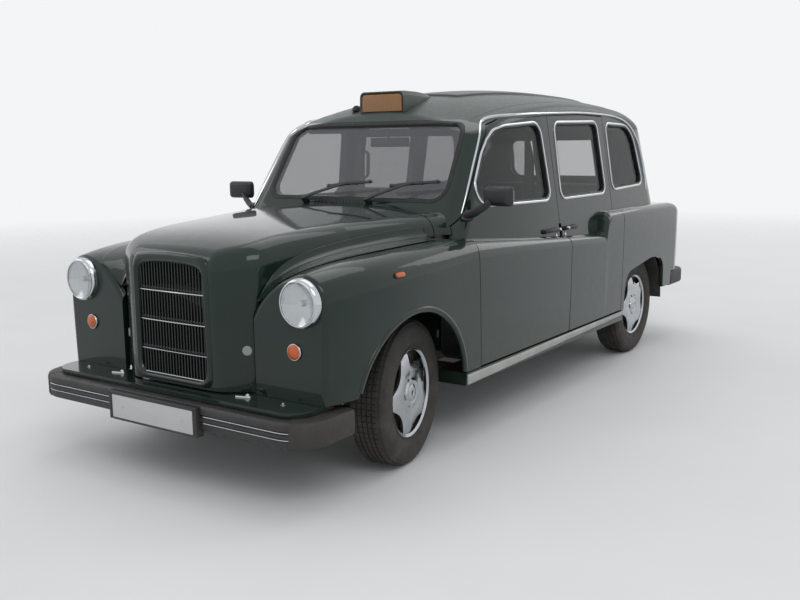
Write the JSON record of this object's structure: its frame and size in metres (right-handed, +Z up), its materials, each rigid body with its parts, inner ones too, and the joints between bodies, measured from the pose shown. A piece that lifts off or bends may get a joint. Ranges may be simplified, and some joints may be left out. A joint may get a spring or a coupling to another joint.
{
  "type": "taxi cab",
  "caption": "Four-door taxi cab with round headlamps, upright grille, roof sign, opening doors, bonnet and boot, steered front wheels and a partitioned cabin.",
  "frame": {"origin": "on the ground, midway between the cab's foremost and rearmost points, on its middle plane", "axes": "+X to the cab's left, +Y to its rear, +Z up"},
  "size_m": [1.916, 4.56, 1.7878],
  "materials": {
    "body_paint": "gloss",
    "roof_covering": "satin",
    "glass": "clear",
    "black_plastic": "matte",
    "bright_trim": "polished",
    "sill_metal": "satin",
    "tyre": "matte",
    "wheel_metal": "polished",
    "chassis_black": "satin",
    "running_gear": "rough",
    "exhaust_steel": "satin",
    "seat_cover": "satin",
    "lamp_lens": "gloss",
    "plate": "gloss"
  },
  "bodies": {
    "cab_body": {"front_wings": "body_paint", "rear_wings": "body_paint", "windscreen_frame": "body_paint", "rear_body": "body_paint", "centre_posts": "body_paint", "scuttle": "body_paint", "tail_panel": "body_paint", "front_apron": "body_paint", "roof_panel": "roof_covering", "fixed_glass": "glass", "partition_glass": "glass", "dash": "black_plastic", "steering_wheel": "black_plastic", "front_bumper": "black_plastic", "rear_bumper": "black_plastic", "headlamps": "bright_trim", "sills": "sill_metal", "chassis": "chassis_black", "front_suspension": "chassis_black", "fuel_tank": "chassis_black", "floor_pan": "chassis_black", "wheelhouses": "chassis_black", "seat_base": "chassis_black", "partition": "chassis_black", "rear_axle": "running_gear", "propeller_shaft": "running_gear", "engine": "running_gear", "exhaust": "exhaust_steel", "driver_seat": "seat_cover", "rear_bench": "seat_cover", "jump_seats": "seat_cover", "front_indicators": "lamp_lens", "tail_lamps": "lamp_lens", "front_plate": "plate", "roof_sign": "plate"},
    "front_door_left_body": {"front_door_left": "body_paint", "front_door_glass_left": "glass", "door_mirror_left": "black_plastic"},
    "front_door_right_body": {"front_door_right": "body_paint", "front_door_glass_right": "glass", "door_mirror_right": "black_plastic"},
    "rear_door_left_body": {"rear_door_left": "body_paint", "rear_door_glass_left": "glass"},
    "rear_door_right_body": {"rear_door_right": "body_paint", "rear_door_glass_right": "glass"},
    "bonnet_body": {"bonnet": "body_paint", "grille": "bright_trim"},
    "boot_lid_body": {"boot_lid": "body_paint"},
    "knuckle_left_body": {"knuckle_left": "running_gear"},
    "knuckle_right_body": {"knuckle_right": "running_gear"},
    "front_wheel_left_body": {"front_tyre_left": "tyre", "front_wheel_left": "wheel_metal"},
    "front_wheel_right_body": {"front_tyre_right": "tyre", "front_wheel_right": "wheel_metal"},
    "rear_wheel_left_body": {"rear_tyre_left": "tyre", "rear_wheel_left": "wheel_metal"},
    "rear_wheel_right_body": {"rear_tyre_right": "tyre", "rear_wheel_right": "wheel_metal"}
  },
  "joints": [
    {"name": "front_door_left_hinge", "type": "hinge", "parent": "cab_body", "child": "front_door_left_body", "pos_m": [0.88, -0.96, 0.8], "axis": [0, 0, -1], "range_deg": [0, 70]},
    {"name": "rear_door_left_hinge", "type": "hinge", "parent": "cab_body", "child": "rear_door_left_body", "pos_m": [0.88, 0.927, 0.8], "axis": [0, 0, 1], "range_deg": [0, 70]},
    {"name": "steer_left", "type": "hinge", "parent": "cab_body", "child": "knuckle_left_body", "pos_m": [0.65, -1.44, 0.338], "axis": [0, 0, 1], "range_deg": [-60, 40]},
    {"name": "front_wheel_left_spin", "type": "hinge", "parent": "knuckle_left_body", "child": "front_wheel_left_body", "pos_m": [0.70416, -1.43045, 0.338], "axis": [0.9848, 0.1736, 0], "continuous": true},
    {"name": "rear_wheel_left_spin", "type": "hinge", "parent": "cab_body", "child": "rear_wheel_left_body", "pos_m": [0.705, 1.37, 0.338], "axis": [1, 0, 0], "continuous": true},
    {"name": "front_door_right_hinge", "type": "hinge", "parent": "cab_body", "child": "front_door_right_body", "pos_m": [-0.88, -0.96, 0.8], "axis": [0, 0, 1], "range_deg": [0, 70]},
    {"name": "rear_door_right_hinge", "type": "hinge", "parent": "cab_body", "child": "rear_door_right_body", "pos_m": [-0.88, 0.927, 0.8], "axis": [0, 0, -1], "range_deg": [0, 70]},
    {"name": "steer_right", "type": "hinge", "parent": "cab_body", "child": "knuckle_right_body", "pos_m": [-0.65, -1.44, 0.338], "axis": [0, 0, 1], "range_deg": [-60, 40]},
    {"name": "front_wheel_right_spin", "type": "hinge", "parent": "knuckle_right_body", "child": "front_wheel_right_body", "pos_m": [-0.70416, -1.44955, 0.338], "axis": [0.9848, 0.1736, 0], "continuous": true},
    {"name": "rear_wheel_right_spin", "type": "hinge", "parent": "cab_body", "child": "rear_wheel_right_body", "pos_m": [-0.705, 1.37, 0.338], "axis": [1, 0, 0], "continuous": true},
    {"name": "bonnet_hinge", "type": "hinge", "parent": "cab_body", "child": "bonnet_body", "pos_m": [0, -0.998, 1.152], "axis": [-1, 0, 0], "range_deg": [0, 55]},
    {"name": "boot_lid_hinge", "type": "hinge", "parent": "cab_body", "child": "boot_lid_body", "pos_m": [0, 1.888, 1.094], "axis": [1, 0, 0], "range_deg": [0, 70]}
  ],
  "couplings": [
    {"joint": "steer_right", "follows": "steer_left", "ratio": 1}
  ]
}
